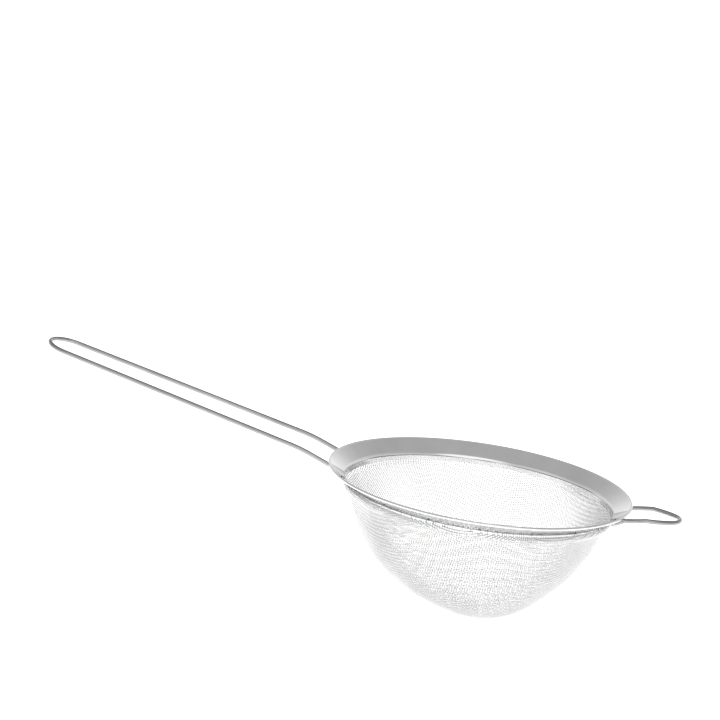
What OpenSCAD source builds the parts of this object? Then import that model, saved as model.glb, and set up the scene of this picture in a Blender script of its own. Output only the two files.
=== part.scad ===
// Round wire-mesh strainer: a hemmed funnel rim with a woven mesh bowl on its collar,
// a long looped wire handle on -X and a short wire rest ear on +X.
// Origin: on the bowl's axis, at mid height of the mesh band round the collar. +Z is up.

/* [Rim] */
// Outer radius of the rim
rim_r = 50; // [45:0.5:60]
// Inner radius of the collar
collar_r = 43.7; // [39:0.1:43.9]
// Thickness of the rim sheet
sheet_t = 0.4; // [0.3:0.05:0.5]
// Slope of the funnel, from the horizontal
cone_angle = 34.9; // [30:0.1:35]
// Radius of the bend between the funnel and the collar
bend_r = 1.8; // [0.8:0.1:1.9]
// Radius of the rolled edge
bead_r = 0.45; // [0.43:0.01:0.5]
// Height of the collar below the funnel
collar_h = 2.2; // [2:0.1:3]

/* [Mesh bowl] */
// Thickness of the woven cloth
mesh_t = 0.4; // [0.3:0.05:0.5]
// Radius of the round part of the bowl, from the middle of the rim
bowl_r = 42.5; // [38:0.5:42.5]
// How far the deepest spot is pressed out beyond the round part
dome_extra = 3.1; // [0:0.1:4]
// Spread of that spot
dome_spread = 17.3; // [12:0.1:25]
// How far the cloth stands out where it leaves the collar
skirt_extra = 2.2; // [1:0.1:2.4]
// Number of spot welds that hold the cloth to the collar
mesh_weld_n = 16; // [8:1:24]

/* [Handle] */
// Radius of the handle and ear wire
wire_r = 0.75; // [0.65:0.05:0.75]
// Distance from the bowl's axis to the middle of the handle's end arc
handle_end_x = 142.7; // [110:0.1:160]
// Radius of the handle's end arc
handle_end_r = 7.5; // [6:0.1:8.5]
// Half the spacing of the handle's legs at the rim
handle_leg_y = 9.15; // [8.5:0.05:10]
// Rise of the legs at the rim, per millimetre along X
leg_slope = 0.345; // [0.33:0.005:0.37]
// Rise of the handle beyond its bend, per millimetre along X
handle_slope = 0.195; // [0.15:0.001:0.25]
// Distance from the bowl's axis to the bend of the legs
handle_bend_x = 59.2; // [57:0.1:62]

/* [Ear] */
// Radius of the ear's side curves
ear_side_r = 20; // [19:0.1:22]
// Radius of the ear's tip
ear_tip_r = 6; // [5.5:0.1:6.2]
// Distance from the bowl's axis to the middle of the tip
ear_tip_x = 59.9; // [59:0.1:61]
// Angle at which the side curves meet the tip
ear_join = 54; // [50:1:58]

/* [Hidden] */
$fn = 96;
gap = 0.01;                                     // clearance that keeps touching pieces separate solids
steel = [0.78, 0.79, 0.80];
cloth = [0.86, 0.87, 0.88];
weld_grey = [0.60, 0.61, 0.62];

// Heights, from the middle of the mesh band
band_h = 1.3;                                   // height of the cloth band on the collar
bead_rise = -0.05;                              // the rolled edge's top above the funnel's face there
cone_drop = (rim_r - bead_r - collar_r) * tan(cone_angle) + bead_rise;
rim_top = cone_drop + collar_h - band_h / 2;    // top of the rolled edge
collar_low = -band_h / 2;
corner_z = rim_top - cone_drop;                 // where the funnel and the collar would meet without the bend
skin = sheet_t / cos(cone_angle);               // vertical thickness of the funnel sheet
band_r = collar_r + sheet_t + mesh_t;
turn = 90 - cone_angle;                         // angle that the bend turns through
tangent = bend_r * tan(turn / 2);

function cone_top(r) = corner_z + (r - collar_r) * tan(cone_angle);
function cone_under(r) = cone_top(r) - skin;
// Height of the middle of a wire that touches the funnel's underside at radius r
function wire_under(r) = cone_under(r) - wire_r / cos(cone_angle) - gap;

// Rim profile: the bend is an arc about bend_c, and the rolled edge is an arc about bead_c
sheet_normal = 90 + cone_angle;
bend_c = [collar_r + bend_r, corner_z - tangent];
bead_c = [rim_r - bead_r, rim_top - bead_r];
bead_off = (cone_top(bead_c[0]) - bead_c[1]) * cos(cone_angle);
bead_first = sheet_normal + acos(bead_off / bead_r);
bead_last = sheet_normal + acos((bead_off - sheet_t) / bead_r) - 360;
function arc(centre, r, first, last, steps) =
    [for (i = [0 : steps]) let(a = first + (last - first) * i / steps) centre + r * [cos(a), sin(a)]];

// Bowl profile: distance from the middle of the rim's top plane, at a dip below that plane
skirt_start = 7;
skirt_fade = 5.6;
function bowl_dist(dip) = bowl_r
    + dome_extra * exp(-pow((90 - dip) / dome_spread, 2) / 2)
    + skirt_extra * exp(-(dip - skirt_start) / skirt_fade);
function bowl_point(dip, inset) = (bowl_dist(dip) - inset) * [cos(dip), -sin(dip)] + [0, rim_top];

// Handle, one side: the leg ends under the funnel, rises past the edge, turns at a soft knee and
// runs on at a smaller slope. Beyond the knee its points lie in a plane tilted by handle_tilt.
leg_end_x = 46.3;
leg_end = [leg_end_x, handle_leg_y, wire_under(norm([leg_end_x, handle_leg_y]))];
bend_z = leg_end[2] + (handle_bend_x - leg_end_x) * leg_slope;
leg_tilt = atan(leg_slope);
handle_tilt = atan(handle_slope);
knee_r = 50;
knee_tangent = knee_r * tan((leg_tilt - handle_tilt) / 2);
taper_start = 6;                                // the legs are parallel up to here, past the bend
run = (handle_end_x - handle_bend_x) / cos(handle_tilt);
taper_run = run - taper_start;
taper = atan(handle_leg_y / taper_run) - asin(handle_end_r / norm([taper_run, handle_leg_y]));
function on_handle(along, y) =
    [handle_bend_x + along * cos(handle_tilt), y, bend_z + along * sin(handle_tilt)];
knee_c = on_handle(knee_tangent, handle_leg_y) + knee_r * [sin(handle_tilt), 0, -cos(handle_tilt)];
knee = [for (i = [0 : 4]) let(a = leg_tilt + (handle_tilt - leg_tilt) * i / 4)
    knee_c + knee_r * [-sin(a), 0, cos(a)]];
end_arc = [for (p = arc([run, 0], handle_end_r, 90 - taper, 0, 12)) on_handle(p[0], p[1])];
handle_side = concat([leg_end], knee, [on_handle(taper_start, handle_leg_y)], end_arc);

// Ear, one side: the leg rises from the collar to the edge, then a side curve rises to the level part
ear_side_c = [ear_tip_x, 0] - (ear_side_r - ear_tip_r) * [cos(ear_join), sin(ear_join)];
ear_flat_x = 56;                                // the ear is level from here outwards
ear_dip = 0.182;                                // fall of the side curve inside that, per millimetre along X
ear_z = rim_top - 0.4;
ear_edge_x = 49.2;                              // where the leg passes under the rolled edge
ear_end_x = 46.2;
ear_end_y = 9.6;
tip_step = 8;                                   // the tip arc starts this angle past the join
ear_end = [ear_end_x, ear_end_y, wire_under(norm([ear_end_x, ear_end_y]))];
ear_edge_angle = acos((ear_edge_x - ear_side_c[0]) / ear_side_r);
ear_curve = concat(
    arc(ear_side_c, ear_side_r, ear_edge_angle, ear_join, 8),
    arc([ear_tip_x, 0], ear_tip_r, ear_join - tip_step, 0, 7)
);
ear_side = concat([ear_end], [for (p = ear_curve) [p[0], p[1], ear_z - ear_dip * max(0, ear_flat_x - p[0])]]);

// Spot welds
weld_r = 1.05;
mesh_weld_r = 0.4;
weld_sink = 0.15;                               // a nugget's face lies this far below the cloth's
weld_through = 0.1;                             // a nugget's hole runs this far past the cloth's faces

// A straight round wire from a to b
module rod(a, b) {
    d = b - a;
    translate(a)
        rotate([0, acos(d[2] / norm(d)), atan2(d[1], d[0])])
            cylinder(h = norm(d), r = wire_r);
}

function mirror_y(points) = [for (p = points) [p[0], -p[1], p[2]]];
function unit(v) = v / norm(v);

// Both sides of a wire loop joined into one path; the last point of a side lies on the middle plane
function loop_path(side) = concat(side, mirror_y([for (i = [len(side) - 2 : -1 : 0]) side[i]]));

// A round wire swept along a path that never stands upright
module swept_wire(path) {
    sides = 12;
    last = len(path) - 1;
    rings = [for (i = [0 : last]) let(
        t = unit(path[min(i + 1, last)] - path[max(i - 1, 0)]),
        u = unit(cross(t, [0, 0, 1])),
        v = cross(u, t)
    ) for (k = [0 : sides - 1]) path[i] + wire_r * (u * cos(k * 360 / sides) + v * sin(k * 360 / sides))];
    skin_faces = [for (i = [0 : last - 1], k = [0 : sides - 1]) let(n = (k + 1) % sides)
        [i * sides + k, i * sides + n, (i + 1) * sides + n, (i + 1) * sides + k]];
    caps = [[for (k = [sides - 1 : -1 : 0]) k], [for (k = [0 : sides - 1]) last * sides + k]];
    polyhedron(points = rings, faces = concat(skin_faces, caps), convexity = 6);
}

module rim_body() {
    rotate_extrude()
        polygon(concat(
            [[collar_r + sheet_t, collar_low], [collar_r, collar_low]],
            arc(bend_c, bend_r, 180, sheet_normal, 8),
            arc(bead_c, bead_r, bead_first, bead_last, 24),
            arc(bend_c, bend_r - sheet_t, sheet_normal, 180, 8)
        ));
}

module rim_flange() {
    color(steel) rim_body();
}

// Spot welds are round nuggets that go through the cloth band into the collar's face
module weld_ring(r, low, high) {
    for (i = [0 : mesh_weld_n - 1])
        rotate([0, 0, (i + 0.5) * 360 / mesh_weld_n])
            translate([low, 0, 0])
                rotate([0, 90, 0])
                    cylinder(h = high - low, r = r);
}

module mesh_bowl() {
    dips = [for (d = [9 : 3 : 90]) d];
    color(cloth)
        difference() {
            rotate_extrude()
                polygon(concat(
                    [[band_r - mesh_t + gap, band_h / 2], [band_r, band_h / 2], [band_r, collar_low]],
                    [for (d = dips) bowl_point(d, 0)],
                    [for (i = [len(dips) - 1 : -1 : 0]) bowl_point(dips[i], mesh_t)],
                    [[band_r - mesh_t + gap, collar_low - gap]]
                ));
            weld_ring(mesh_weld_r + gap, band_r - mesh_t - weld_through, band_r + weld_through);
        }
}

module mesh_welds() {
    color(weld_grey)
        difference() {
            weld_ring(mesh_weld_r, band_r - mesh_t - weld_through, band_r - weld_sink);
            cylinder(h = 2 * band_h, r = collar_r + sheet_t + gap, center = true, $fn = 192);
        }
}

module handle_loop() {
    color(steel) mirror([1, 0, 0]) swept_wire(loop_path(handle_side));
}

module ear_loop() {
    color(steel) swept_wire(loop_path(ear_side));
}

// A weld bead wraps a wire's end and runs into the funnel's underside, and there is one on each side
module weld_beads(wire_end, wire_next) {
    for (side = [0, 1])
        mirror([0, side, 0])
            difference() {
                translate(wire_end) sphere(r = weld_r);
                rod(wire_end, wire_next);
                rim_body();
            }
}

module handle_welds() {
    color(weld_grey) mirror([1, 0, 0]) weld_beads(leg_end, knee[0]);
}

module ear_welds() {
    color(weld_grey) weld_beads(ear_end, ear_side[1]);
}

rim_flange();
mesh_bowl();
mesh_welds();
handle_loop();
handle_welds();
ear_loop();
ear_welds();
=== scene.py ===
from math import acos, asin, atan, cos, pi, radians, sin, tan

import bpy
import numpy as np
from mathutils import Matrix, Vector


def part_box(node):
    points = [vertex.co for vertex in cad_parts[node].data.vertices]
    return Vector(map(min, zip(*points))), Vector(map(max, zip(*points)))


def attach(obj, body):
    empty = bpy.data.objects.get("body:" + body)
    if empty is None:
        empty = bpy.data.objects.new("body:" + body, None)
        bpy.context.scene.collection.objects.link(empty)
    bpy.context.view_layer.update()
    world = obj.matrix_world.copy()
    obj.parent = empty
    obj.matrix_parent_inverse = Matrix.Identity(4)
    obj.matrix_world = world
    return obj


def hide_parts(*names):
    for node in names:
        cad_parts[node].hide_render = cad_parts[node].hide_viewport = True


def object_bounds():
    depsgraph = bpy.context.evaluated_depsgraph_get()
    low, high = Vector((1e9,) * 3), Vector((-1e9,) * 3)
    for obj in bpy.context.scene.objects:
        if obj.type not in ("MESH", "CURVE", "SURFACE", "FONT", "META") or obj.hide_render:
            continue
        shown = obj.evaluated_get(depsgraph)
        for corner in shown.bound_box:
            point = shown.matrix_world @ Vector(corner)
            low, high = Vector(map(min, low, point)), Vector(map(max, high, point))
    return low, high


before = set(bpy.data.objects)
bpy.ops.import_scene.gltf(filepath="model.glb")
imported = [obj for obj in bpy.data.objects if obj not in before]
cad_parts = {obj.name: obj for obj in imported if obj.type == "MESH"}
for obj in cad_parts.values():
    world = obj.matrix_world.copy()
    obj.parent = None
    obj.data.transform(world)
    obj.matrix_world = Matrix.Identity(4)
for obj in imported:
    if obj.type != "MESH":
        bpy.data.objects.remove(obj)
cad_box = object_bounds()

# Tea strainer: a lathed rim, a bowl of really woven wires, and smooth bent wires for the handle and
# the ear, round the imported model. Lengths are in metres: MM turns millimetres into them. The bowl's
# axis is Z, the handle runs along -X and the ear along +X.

MM = 0.001

# ---------------------------------------------------------------- sizes, as in the CAD model

rim_low, rim_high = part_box("rim_flange")

# rim: an upright collar, a bend, a sloping funnel and a rolled bead, from one sheet
RIM_R = rim_high.x
RIM_TOP = rim_high.z
COLLAR_LOW = rim_low.z
COLLAR_R = 43.7 * MM
SHEET = 0.4 * MM
CONE_ANGLE = radians(34.9)
BEND_R = 1.8 * MM
BEAD_R = 0.45 * MM
BEAD_RISE = -0.05 * MM             # from the funnel's line up to the bead's top, here downward
CORNER_Z = RIM_TOP - BEAD_RISE - (RIM_R - BEAD_R - COLLAR_R) * tan(CONE_ANGLE)

# bowl: a ball with a pressed-out bottom and a skirt that widens up to the collar
BOWL_R = 42.5 * MM
DOME_EXTRA = 3.1 * MM
DOME_SPREAD = radians(17.3)
DOME_LEAN = radians(13.9)          # the deepest spot is pushed this far towards the ear
SKIRT_EXTRA = 2.2 * MM
SKIRT_START = radians(7)
SKIRT_FADE = radians(5.6)
BAND_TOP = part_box("mesh_bowl")[1].z
BAND_DIP = radians(8.1)            # the cloth stands upright down to this angle under the rim
BAND_FADE = radians(1.8)           # and turns into the bowl over this one

# wire cloth
PITCH = 0.82 * MM                  # spacing of the woven wires
MESH_WIRE_R = 0.12 * MM
CLOTH_HALF = 0.2 * MM              # from the middle of the cloth to the CAD shell's outer face
BAND_MIDDLE_R = COLLAR_R + SHEET + 2 * MESH_WIRE_R
CREST = 0.24                       # a wire stays level this share of a pitch each side of a crossing
CREST_HEIGHT = 0.9 * MESH_WIRE_R
CUT_ROOM = 0.1                     # share of a pitch kept free next to a wire's cut end
NET_REACH = 92                     # crossings from the bottom that surely pass the band's top
FEWEST_CROSSINGS = 3               # a wire with fewer of them is left out
NEWTON_STEPS = 6

# handle and ear: bent from the same wire
WIRE_R = 0.75 * MM
TOUCH = 0.01 * MM                  # pieces that touch stay this far apart
LEG_Y = 9.15 * MM                  # from the middle plane to each handle leg
LEG_END_X = 46.3 * MM
LEG_SLOPE = 0.345                  # rise of the legs out to the bend
HANDLE_SLOPE = 0.195               # rise of the handle past the bend
HANDLE_BEND_X = 59.2 * MM
HANDLE_END_X = 142.7 * MM
HANDLE_END_R = 7.5 * MM
KNEE_R = 50 * MM
TAPER_START = 6 * MM
EAR_SIDE_R = 20 * MM
EAR_TIP_R = 6 * MM
EAR_TIP_X = 59.9 * MM
EAR_JOIN = radians(54)             # angle at which an ear's side turns into its tip
EAR_LEVEL = 0.4 * MM               # the level part of the ear lies this far below the rim's top
EAR_FLAT_X = 56 * MM
EAR_DIP = 0.182                    # slope of the ear from its level part down to the rim
EAR_EDGE_X = 49.2 * MM
EAR_END = (46.2 * MM, 9.6 * MM)

# fineness of the meshes
RIM_SEGMENTS = 288
MESH_WIRE_SIDES = 4
WIRE_SIDES = 24
WIRE_STEP = 1.2 * MM


# ---------------------------------------------------------------- small helpers

def arc(centre, radius, first, last, steps):
    """Points in a plane on an arc from one angle to another."""
    angles = np.linspace(first, last, steps + 1)
    return [(centre[0] + radius * cos(a), centre[1] + radius * sin(a)) for a in angles]


def new_piece(name, points, faces, material, sharp=40):
    """A smooth-shaded mesh piece on the body root, with edges sharper than an angle kept crisp."""
    mesh = bpy.data.meshes.new(name)
    mesh.from_pydata(points, [], faces)
    mesh.polygons.foreach_set("use_smooth", [True] * len(mesh.polygons))
    mesh.set_sharp_from_angle(angle=radians(sharp))
    mesh.materials.append(material)
    piece = bpy.data.objects.new(name, mesh)
    bpy.context.scene.collection.objects.link(piece)
    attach(piece, "root")
    return piece


def unit(vectors):
    """Each row of an array of vectors, at length one."""
    return vectors / np.linalg.norm(vectors, axis=-1, keepdims=True)


def tube(line, radius, sides, up):
    """Points, walls and two end faces of a round wire along a line, with an up direction by point."""
    line = np.asarray(line)
    ahead = unit(np.gradient(line, axis=0))
    side = unit(np.cross(ahead, up))
    top = np.cross(side, ahead)
    angles = 2 * pi * np.arange(sides) / sides
    rings = (
        line[:, None]
        + radius * np.cos(angles)[None, :, None] * top[:, None]
        + radius * np.sin(angles)[None, :, None] * side[:, None]
    )
    start = np.arange(len(line) - 1)[:, None] * sides
    here = np.arange(sides)[None, :]
    after = (here + 1) % sides
    walls = np.stack([start + here, start + after, start + after + sides, start + here + sides], axis=-1)
    last = (len(line) - 1) * sides
    ends = [list(range(sides - 1, -1, -1)), list(range(last, last + sides))]
    return rings.reshape(-1, 3), walls.reshape(-1, 4), ends


# ---------------------------------------------------------------- materials

BLOTCH_SCALE = 90.0
MARK_HEIGHT = 0.02 * MM


def noise(tree, place, scale, detail=3.0):
    """A noise value from 0 to 1 at each place."""
    node = tree.nodes.new("ShaderNodeTexNoise")
    node.inputs["Scale"].default_value = scale
    node.inputs["Detail"].default_value = detail
    tree.links.new(place, node.inputs["Vector"])
    return node.outputs["Fac"]


def ramp(tree, value, low, high):
    """Colours from low to high as the value goes from 0.3 to 0.7."""
    node = tree.nodes.new("ShaderNodeValToRGB")
    node.color_ramp.elements[0].position = 0.3
    node.color_ramp.elements[0].color = (*low, 1)
    node.color_ramp.elements[1].position = 0.7
    node.color_ramp.elements[1].color = (*high, 1)
    tree.links.new(value, node.inputs["Fac"])
    return node.outputs["Color"]


def spread(tree, value, low, high):
    """A number from low to high as the value goes from 0.3 to 0.7."""
    node = tree.nodes.new("ShaderNodeMapRange")
    node.inputs["From Min"].default_value = 0.3
    node.inputs["From Max"].default_value = 0.7
    node.inputs["To Min"].default_value = low
    node.inputs["To Max"].default_value = high
    tree.links.new(value, node.inputs["Value"])
    return node.outputs["Result"]


def object_place(tree, scale=(1.0, 1.0, 1.0)):
    """Object coordinates, scaled along each axis."""
    place = tree.nodes.new("ShaderNodeTexCoord")
    mapping = tree.nodes.new("ShaderNodeMapping")
    mapping.inputs["Scale"].default_value = scale
    tree.links.new(place.outputs["Object"], mapping.inputs["Vector"])
    return mapping.outputs["Vector"]


def turned_lines(tree):
    """Lines round the bowl's axis: they change with the distance from it and with height only."""
    place = tree.nodes.new("ShaderNodeTexCoord").outputs["Object"]
    parts = tree.nodes.new("ShaderNodeSeparateXYZ")
    flat = tree.nodes.new("ShaderNodeCombineXYZ")
    distance = tree.nodes.new("ShaderNodeVectorMath")
    distance.operation = "LENGTH"
    both = tree.nodes.new("ShaderNodeCombineXYZ")
    links = tree.links
    links.new(place, parts.inputs["Vector"])
    links.new(parts.outputs["X"], flat.inputs["X"])
    links.new(parts.outputs["Y"], flat.inputs["Y"])
    links.new(flat.outputs["Vector"], distance.inputs[0])
    links.new(distance.outputs["Value"], both.inputs["X"])
    links.new(parts.outputs["Z"], both.inputs["Z"])
    return both.outputs["Vector"], place, 3000.0


def drawn_lines(tree):
    """Long lines nearly along X, the way that both wires mostly run."""
    return object_place(tree, (0.05, 1.0, 1.0)), object_place(tree), 5000.0


def grain(tree):
    """The same fine grain in every direction."""
    place = object_place(tree)
    return place, place, 2500.0


def metal(name, dark, light, rough, marks, bump):
    """Steel with blotchy colour, and fine marks that vary its roughness and height.

    marks is a function that gives the coordinates of the marks, those of the blotches, and the
    marks' scale."""
    material = bpy.data.materials.new(name)
    material.use_nodes = True
    tree = material.node_tree
    shader = tree.nodes["Principled BSDF"]
    shader.inputs["Metallic"].default_value = 1.0
    mark_place, blotch_place, mark_scale = marks(tree)
    blotches = noise(tree, blotch_place, BLOTCH_SCALE)
    fine = noise(tree, mark_place, mark_scale)
    tree.links.new(ramp(tree, blotches, dark, light), shader.inputs["Base Color"])
    tree.links.new(spread(tree, fine, *rough), shader.inputs["Roughness"])
    bump_node = tree.nodes.new("ShaderNodeBump")
    bump_node.inputs["Strength"].default_value = bump
    bump_node.inputs["Distance"].default_value = MARK_HEIGHT
    tree.links.new(fine, bump_node.inputs["Height"])
    tree.links.new(bump_node.outputs["Normal"], shader.inputs["Normal"])
    return material


rim_steel = metal(
    "rim_steel", dark=(0.74, 0.74, 0.75), light=(0.82, 0.82, 0.83), rough=(0.05, 0.09),
    marks=turned_lines, bump=0.05,
)
# painted shade: the handle and ear wire's steel is much darker than the rim's and the cloth's, so that
# the thin wires stay grey against the bright glowing floor
wire_steel_painted_darker = metal(
    "wire_steel_painted_darker", dark=(0.32, 0.32, 0.33), light=(0.41, 0.41, 0.42), rough=(0.06, 0.12),
    marks=drawn_lines, bump=0.05,
)
mesh_steel = metal(
    "mesh_steel", dark=(0.66, 0.66, 0.66), light=(0.76, 0.76, 0.76), rough=(0.04, 0.09),
    marks=grain, bump=0.1,
)
weld_steel = metal(
    "weld_steel", dark=(0.42, 0.42, 0.43), light=(0.66, 0.65, 0.65), rough=(0.25, 0.45),
    marks=grain, bump=0.5,
)


# ---------------------------------------------------------------- rim

NEAR_END = 0.02                    # share of a straight stretch from its end to the added point


def near_ends(first, last):
    """Two points close to the ends of a straight stretch, which keep its shading flat."""
    first, last = np.array(first), np.array(last)
    step = (last - first) * NEAR_END
    return [tuple(first + step), tuple(last - step)]


def rim_profile():
    """Outline of the sheet, as distance from the axis and height."""
    turn = pi / 2 - CONE_ANGLE
    normal = pi / 2 + CONE_ANGLE
    bend = (COLLAR_R + BEND_R, CORNER_Z - BEND_R * tan(turn / 2))
    bead = (RIM_R - BEAD_R, RIM_TOP - BEAD_R)
    bead_off = (CORNER_Z + (bead[0] - COLLAR_R) * tan(CONE_ANGLE) - bead[1]) * cos(CONE_ANGLE)
    first = normal + acos(bead_off / BEAD_R)
    last = normal + acos((bead_off - SHEET) / BEAD_R) - 2 * pi
    low_edge = [(COLLAR_R + SHEET, COLLAR_LOW), (COLLAR_R, COLLAR_LOW)]
    inner_bend = arc(bend, BEND_R, pi, normal, steps=16)
    roll = arc(bead, BEAD_R, first, last, steps=40)
    outer_bend = arc(bend, BEND_R - SHEET, normal, pi, steps=16)
    face = near_ends(inner_bend[-1], roll[0])
    underside = near_ends(roll[-1], outer_bend[0])
    return low_edge + inner_bend + face + roll + underside + outer_bend


def lathe(profile, segments):
    """Points and faces of a closed outline turned round the Z axis."""
    outline = np.array(profile)
    angles = 2 * pi * np.arange(segments) / segments
    points = np.stack([
        outline[None, :, 0] * np.cos(angles)[:, None],
        outline[None, :, 0] * np.sin(angles)[:, None],
        np.broadcast_to(outline[None, :, 1], (segments, len(outline))),
    ], axis=-1).reshape(-1, 3)
    count = len(outline)
    turn = np.arange(segments)[:, None]
    step = np.arange(count)[None, :]
    here, beside = turn * count, (turn + 1) % segments * count
    after = (step + 1) % count
    faces = np.stack([here + step, here + after, beside + after, beside + step], axis=-1)
    return points, faces.reshape(-1, 4)


def make_rim():
    """The collar, funnel and rolled bead in one closed sheet."""
    points, faces = lathe(rim_profile(), RIM_SEGMENTS)
    rim = new_piece("rim", points.tolist(), faces.tolist(), rim_steel)
    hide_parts("rim_flange")


# ---------------------------------------------------------------- woven bowl

BOWL_CENTRE = np.array([0, 0, RIM_TOP])
DEEPEST = np.array([sin(DOME_LEAN), 0, -cos(DOME_LEAN)])


def cloth_radius(directions):
    """Distance from the middle of the rim's top plane to the middle of the cloth, by direction.

    The bowl is nearly round, with a pressed-out bottom and a skirt that widens towards the collar.
    Above the collar's lower edge it turns into the upright band round the collar."""
    dip = np.arcsin(np.clip(-directions[..., 2], -1, 1))
    away = np.arccos(np.clip(directions @ DEEPEST, -1, 1))
    bowl = (
        BOWL_R
        - CLOTH_HALF
        + DOME_EXTRA * np.exp(-((away / DOME_SPREAD) ** 2) / 2)
        + SKIRT_EXTRA * np.exp(-(dip - SKIRT_START) / SKIRT_FADE)
    )
    band = BAND_MIDDLE_R / np.cos(dip)
    fade = np.clip((dip - BAND_DIP) / BAND_FADE, 0, 1)
    fade = fade * fade * (3 - 2 * fade)
    return np.where(fade > 0, bowl, band) * fade + band * (1 - fade)


def above_cloth(points):
    """How far each point lies outside the middle of the cloth."""
    out = points - BOWL_CENTRE
    reach = np.linalg.norm(out, axis=-1)
    return reach - cloth_radius(out / reach[..., None])


def cloth_normal(points):
    """Outward direction of the cloth at each point."""
    step = 0.01 * MM
    slopes = [
        above_cloth(points + step * axis) - above_cloth(points - step * axis)
        for axis in np.eye(3)
    ]
    return unit(np.stack(slopes, axis=-1))


def short_of_pitch(steps):
    """How far each step falls short of one pitch, as half the difference of the squares."""
    return (PITCH**2 - (steps**2).sum(1)) / 2


def nearer(points, conditions):
    """Points after one Newton step, from three pairs of a gradient and how much is missing."""
    rows = np.stack([gradient for gradient, _ in conditions], axis=1)
    short = np.stack([missing for _, missing in conditions], axis=1)
    return points + np.linalg.solve(rows, short[..., None])[..., 0]


def settle(points, first, second):
    """Moves points onto the cloth, one pitch from each of their two neighbours."""
    for _ in range(NEWTON_STEPS):
        to_first, to_second = points - first, points - second
        points = nearer(points, [
            (to_first, short_of_pitch(to_first)),
            (to_second, short_of_pitch(to_second)),
            (cloth_normal(points), -above_cloth(points)),
        ])
    return points


def middle_wire(heading, count):
    """Crossings along the middle wire that leaves the bowl's lowest point towards a heading."""
    bottom = np.array([[0, 0, -1.0]])
    line = [BOWL_CENTRE + cloth_radius(bottom)[:, None] * bottom]
    sideways = np.cross([0, 0, 1.0], heading)[None]
    for _ in range(count):
        last = line[-1]
        point = last + PITCH * np.cross(cloth_normal(last), sideways)
        for _ in range(NEWTON_STEPS):
            step = point - last
            point = nearer(point, [
                (step, short_of_pitch(step)),
                (sideways, np.zeros(1)),
                (cloth_normal(point), -above_cloth(point)),
            ])
        line.append(point)
    return np.concatenate(line)


def weave_net(reach):
    """Every crossing of the cloth as an array [i + reach, j + reach]; those past the band are NaN.

    The cloth doesn't stretch along its wires, only shears, so each crossing lies one pitch from its
    two neighbours nearer the middle."""
    size = 2 * reach + 1
    net = np.full((size, size, 3), np.nan)
    for sign in (1, -1):
        net[reach :: sign, reach][: reach + 1] = middle_wire(np.array([sign, 0, 0.0]), reach)
        net[reach, reach :: sign][: reach + 1] = middle_wire(np.array([0, sign, 0.0]), reach)
    limit = BAND_TOP + 2 * PITCH
    for x_sign in (1, -1):
        for y_sign in (1, -1):
            for total in range(2, 2 * reach + 1):
                i = np.arange(max(1, total - reach), min(reach, total - 1) + 1)
                j = total - i
                a = net[reach + x_sign * (i - 1), reach + y_sign * j]
                b = net[reach + x_sign * i, reach + y_sign * (j - 1)]
                c = net[reach + x_sign * (i - 1), reach + y_sign * (j - 1)]
                with np.errstate(invalid="ignore"):
                    keep = (a[:, 2] < limit) & (b[:, 2] < limit)
                if not keep.any():
                    break
                i, j, a, b, c = i[keep], j[keep], a[keep], b[keep], c[keep]
                net[reach + x_sign * i, reach + y_sign * j] = settle(a + b - c, a, b)
    return net


def wire_line(crossings, heights):
    """Centre line of one woven wire up to the band's cut edge, and the cloth's normals along it."""
    inside = crossings[:, 2] < BAND_TOP
    first, last = np.flatnonzero(inside)[[0, -1]]
    places = np.add.outer(np.arange(first, last + 1), [-CREST, CREST]).ravel()
    for end, beyond in ((first, first - 1), (last, last + 1)):
        low, high = crossings[end, 2], crossings[beyond, 2]
        cut = end + (beyond - end) * (BAND_TOP - low) / (high - low)
        if beyond < end:
            places = np.concatenate([[cut], places[places > cut + CUT_ROOM]])
        else:
            places = np.concatenate([places[places < cut - CUT_ROOM], [cut]])
    index = np.arange(len(crossings))
    usable = ~np.isnan(crossings[:, 0])
    line = np.stack([np.interp(places, index[usable], crossings[usable, a]) for a in range(3)], axis=1)
    normals = cloth_normal(line)
    nearest = np.rint(places).astype(int)
    return line + normals * heights[nearest][:, None], normals


def weave(name, wires):
    """One piece of the cloth, from a list of (crossings, heights)."""
    points, faces, caps, count = [], [], [], 0
    for crossings, heights in wires:
        line, normals = wire_line(crossings, heights)
        ring, walls, ends = tube(line, MESH_WIRE_R, MESH_WIRE_SIDES, normals)
        points.append(ring)
        faces.append(walls + count)
        caps += [[corner + count for corner in end] for end in ends]
        count += len(ring)
    points, faces = np.concatenate(points), np.concatenate(faces)
    # a square wire's own edges stay smooth, so that it shades as a round one
    piece = new_piece(name, points.tolist(), faces.tolist() + caps, mesh_steel, sharp=95)
    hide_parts("mesh_bowl")


def make_bowl():
    """The plain weave: wires both ways, each over and under the others in turn, in four pieces."""
    net = weave_net(NET_REACH)
    steps = np.arange(2 * NET_REACH + 1)
    families = {"weft": [], "warp": []}
    for k in steps:
        up = np.where((steps + k) % 2 == 0, CREST_HEIGHT, -CREST_HEIGHT)
        for family, crossings, heights in (("weft", net[:, k], up), ("warp", net[k], -up)):
            with np.errstate(invalid="ignore"):
                inside = (crossings[:, 2] < BAND_TOP).sum()
            if inside >= FEWEST_CROSSINGS:
                families[family].append((crossings, heights))
    for family, wires in families.items():
        half = len(wires) // 2
        weave(f"mesh_{family}_a", wires[:half])
        weave(f"mesh_{family}_b", wires[half:])


# ---------------------------------------------------------------- handle and ear

def wire_under(radius):
    """Height of the middle of a wire that touches the funnel's underside, by distance from the axis."""
    under = CORNER_Z + (radius - COLLAR_R) * tan(CONE_ANGLE) - SHEET / cos(CONE_ANGLE)
    return under - WIRE_R / cos(CONE_ANGLE) - TOUCH


def both_sides(side):
    """A loop's whole line from its one side, whose last point lies on the middle plane."""
    return side + [(x, -y, z) for x, y, z in reversed(side[:-1])]


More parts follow.
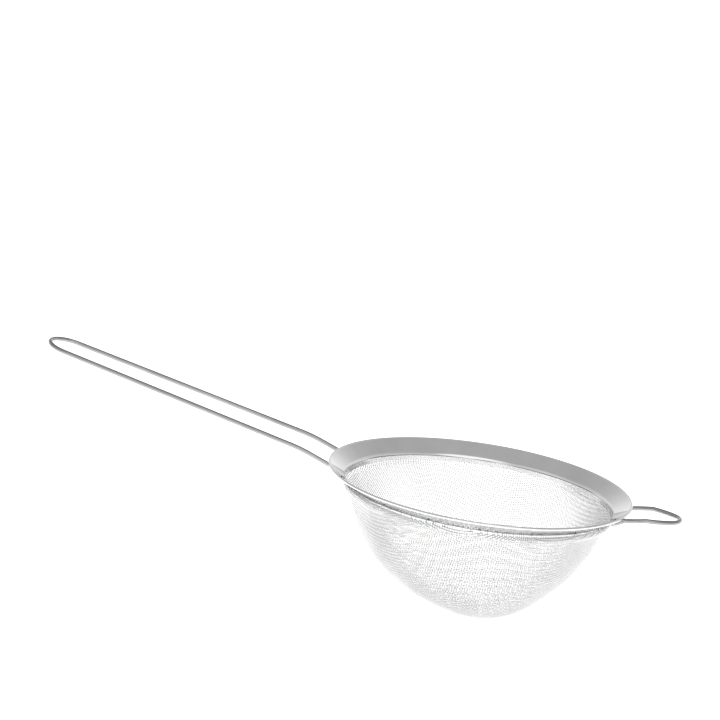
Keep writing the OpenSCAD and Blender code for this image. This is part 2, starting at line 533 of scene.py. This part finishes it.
def spaced(line, step):
    """A line with extra points, so that no stretch is longer than a step."""
    line = np.array(line)
    out = [line[:1]]
    for a, b in zip(line[:-1], line[1:]):
        count = max(1, int(np.ceil(np.linalg.norm(b - a) / step)))
        out.append(a + (b - a) * np.arange(1, count + 1)[:, None] / count)
    return np.concatenate(out)


def handle_line():
    """Two legs rising from under the funnel, a rounded knee, a tapering loop and a round end."""
    end_z = wire_under(np.hypot(LEG_END_X, LEG_Y))
    bend_z = end_z + (HANDLE_BEND_X - LEG_END_X) * LEG_SLOPE
    leg_tilt, tilt = atan(LEG_SLOPE), atan(HANDLE_SLOPE)
    tangent = KNEE_R * tan((leg_tilt - tilt) / 2)

    def on_handle(along, y):
        return (HANDLE_BEND_X + along * cos(tilt), y, bend_z + along * sin(tilt))

    start = on_handle(tangent, LEG_Y)
    centre = (start[0] + KNEE_R * sin(tilt), start[2] - KNEE_R * cos(tilt))
    knee_arc = arc(centre, KNEE_R, pi / 2 + leg_tilt, pi / 2 + tilt, steps=12)
    knee = [(x, LEG_Y, z) for x, z in knee_arc]
    run = (HANDLE_END_X - HANDLE_BEND_X) / cos(tilt)
    taper_run = run - TAPER_START
    taper = atan(LEG_Y / taper_run) - asin(HANDLE_END_R / np.hypot(taper_run, LEG_Y))
    tip = [on_handle(a, y) for a, y in arc((run, 0), HANDLE_END_R, pi / 2 - taper, 0, steps=24)]
    side = [(LEG_END_X, LEG_Y, end_z)] + knee + [on_handle(TAPER_START, LEG_Y)] + tip
    return [(-x, y, z) for x, y, z in both_sides(side)]


def ear_line():
    """Two legs from under the funnel, curved sides that rise past the rim, and a small round tip."""
    reach = EAR_SIDE_R - EAR_TIP_R
    centre = (EAR_TIP_X - reach * cos(EAR_JOIN), -reach * sin(EAR_JOIN))
    edge = acos((EAR_EDGE_X - centre[0]) / EAR_SIDE_R)
    side = arc(centre, EAR_SIDE_R, edge, EAR_JOIN, steps=20)
    tip = arc((EAR_TIP_X, 0), EAR_TIP_R, EAR_JOIN, 0, steps=20)[1:]
    level = RIM_TOP - EAR_LEVEL
    curve = [(x, y, level - EAR_DIP * max(0, EAR_FLAT_X - x)) for x, y in side + tip]
    return both_sides([(*EAR_END, wire_under(np.hypot(*EAR_END)))] + curve)


def make_wire(name, line, node):
    """One bent wire in place of a CAD node."""
    line = spaced(line, WIRE_STEP)
    up = np.tile([0, 0, 1.0], (len(line), 1))
    points, walls, ends = tube(line, WIRE_R, WIRE_SIDES, up)
    piece = new_piece(name, points.tolist(), walls.tolist() + ends, wire_steel_painted_darker)
    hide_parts(node)


def dress_welds():
    """The welds keep their CAD shapes and get the duller weld steel."""
    for node in ("handle_welds", "ear_welds", "mesh_welds"):
        for material_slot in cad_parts[node].material_slots:
            material_slot.material = weld_steel


# ---------------------------------------------------------------- studio

def toward(azimuth, elevation):
    """Unit vector to a spot in the sky; azimuth 0 is -Y and azimuth 90 is +X, in degrees."""
    a, e = radians(azimuth), radians(elevation)
    return Vector((sin(a) * cos(e), -cos(a) * cos(e), sin(e)))


def make_camera():
    """Low in front and a little to the ear's side, leaning so that the ear's side goes down."""
    rim_centre = Vector((0, 0, RIM_TOP))
    place = rim_centre + 977.75 * MM * toward(8.48, 14.98)
    aim = rim_centre + Vector((-45.38 * MM, 0.24 * MM, 32 * MM))
    lean = radians(8.22)
    forward = (aim - place).normalized()
    level = forward.cross(Vector((0, 0, 1))).normalized()
    upright = level.cross(forward)
    right = cos(lean) * level + sin(lean) * upright
    up = cos(lean) * upright - sin(lean) * level
    data = bpy.data.cameras.new("camera")
    data.lens = 150
    data.clip_start = 0.01
    data.clip_end = 100
    camera = bpy.data.objects.new("camera", data)
    bpy.context.scene.collection.objects.link(camera)
    turn = Matrix((right, up, -forward)).transposed()
    camera.matrix_world = Matrix.LocRotScale(place, turn, None)
    bpy.context.scene.camera = camera


def make_floor():
    """A pale floor that glows a little, just under the bowl."""
    half_width = 6.0
    z = cad_box[0].z - 0.3 * MM
    corners = [(x * half_width, y * half_width, z) for x, y in ((-1, -1), (1, -1), (1, 1), (-1, 1))]
    mesh = bpy.data.meshes.new("floor")
    mesh.from_pydata(corners, [], [(0, 1, 2, 3)])
    material = bpy.data.materials.new("floor")
    material.use_nodes = True
    shader = material.node_tree.nodes["Principled BSDF"]
    shader.inputs["Base Color"].default_value = (0.5, 0.5, 0.5, 1)
    shader.inputs["Roughness"].default_value = 0.9
    shader.inputs["Specular IOR Level"].default_value = 0.0
    shader.inputs["Emission Color"].default_value = (1, 1, 1, 1)
    shader.inputs["Emission Strength"].default_value = 1.32
    mesh.materials.append(material)
    floor = bpy.data.objects.new("floor", mesh)
    bpy.context.scene.collection.objects.link(floor)


# The open sky: sine of the elevation and half the brightness, as a curve only goes up to 1.
SKY = [(0.0, 0.52), (0.17, 0.45), (0.34, 0.38), (0.54, 0.32), (0.77, 0.25), (1.0, 0.25)]

# Round zones in it: azimuth, elevation, inner and outer half angle in degrees, and brightness.
ZONES = [
    (188, 45, 8, 35, 0.33),        # dim, high behind the strainer
    (20, 40, 12, 35, 1.2),         # the main soft light, above the camera
    (-50, 32, 10, 35, 0.75),       # a weaker one to its left
    (8, 8, 3, 12, 0.3),            # the dark stand under the camera
]

# Low dark strips to the left and right of the camera.
STRIP_AZIMUTHS = (-60, 76)
STRIP_ELEVATION = 8
STRIP_HALF_ANGLES = (35, 55)       # fully dark within the first, gone at the second
STRIP_HEIGHT = 0.13                # sine of the elevation at its middle
STRIP_HALF_HEIGHTS = (0.08, 0.14)
STRIP_BRIGHTNESS = 0.2


def share(tree, value, none, full):
    """A soft step from 0 to 1 as a value goes from one limit to the other."""
    node = tree.nodes.new("ShaderNodeMapRange")
    node.interpolation_type = "SMOOTHSTEP"
    node.inputs["From Min"].default_value = none
    node.inputs["From Max"].default_value = full
    tree.links.new(value, node.inputs["Value"])
    return node.outputs["Result"]


def along(tree, place, direction):
    """How far a direction in the sky points along another one."""
    node = tree.nodes.new("ShaderNodeVectorMath")
    node.operation = "DOT_PRODUCT"
    node.inputs[1].default_value = direction
    tree.links.new(place, node.inputs[0])
    return node.outputs["Value"]


def within(tree, place, centre, inner, outer):
    """1 inside a round zone of the sky, fading to 0 from its inner to its outer half angle."""
    return share(tree, along(tree, place, centre), cos(radians(outer)), cos(radians(inner)))


def maths(tree, operation, first, second):
    """A maths node, whose inputs are sockets or numbers."""
    node = tree.nodes.new("ShaderNodeMath")
    node.operation = operation
    for socket, value in zip(node.inputs, (first, second)):
        if isinstance(value, float):
            socket.default_value = value
        else:
            tree.links.new(value, socket)
    return node.outputs["Value"]


def blend(tree, factor, value, brightness):
    """A value turned into a fixed brightness by a factor."""
    node = tree.nodes.new("ShaderNodeMix")
    tree.links.new(factor, node.inputs["Factor"])
    tree.links.new(value, node.inputs["A"])
    node.inputs["B"].default_value = brightness
    return node.outputs["Result"]


def open_sky(tree, height):
    """Brightness of the sky by the sine of the elevation."""
    node = tree.nodes.new("ShaderNodeFloatCurve")
    curve = node.mapping.curves[0]
    curve.points[0].location = SKY[0]
    curve.points[1].location = SKY[-1]
    for point in SKY[1:-1]:
        curve.points.new(*point)
    node.mapping.update()
    tree.links.new(height, node.inputs["Value"])
    return maths(tree, "MULTIPLY", node.outputs["Value"], 2.0)


def make_world():
    """A studio sky: bright near the horizon and in front, grey overhead and behind."""
    world = bpy.data.worlds.new("studio")
    world.use_nodes = True
    tree = world.node_tree
    place = tree.nodes.new("ShaderNodeTexCoord").outputs["Generated"]
    height = along(tree, place, Vector((0, 0, 1)))
    value = open_sky(tree, height)
    for azimuth, elevation, inner, outer, brightness in ZONES:
        factor = within(tree, place, toward(azimuth, elevation), inner, outer)
        value = blend(tree, factor, value, brightness)
    off_middle = maths(tree, "ABSOLUTE", maths(tree, "SUBTRACT", height, STRIP_HEIGHT), 0.0)
    strip = share(tree, off_middle, STRIP_HALF_HEIGHTS[1], STRIP_HALF_HEIGHTS[0])
    for azimuth in STRIP_AZIMUTHS:
        side = within(tree, place, toward(azimuth, STRIP_ELEVATION), *STRIP_HALF_ANGLES)
        value = blend(tree, maths(tree, "MULTIPLY", strip, side), value, STRIP_BRIGHTNESS)
    tree.links.new(value, tree.nodes["Background"].inputs["Color"])
    bpy.context.scene.world = world


make_camera()
make_rim()
make_bowl()
make_wire("handle", handle_line(), "handle_loop")
make_wire("ear", ear_line(), "ear_loop")
dress_welds()
make_floor()
make_world()
bpy.context.scene.view_settings.view_transform = "Standard"
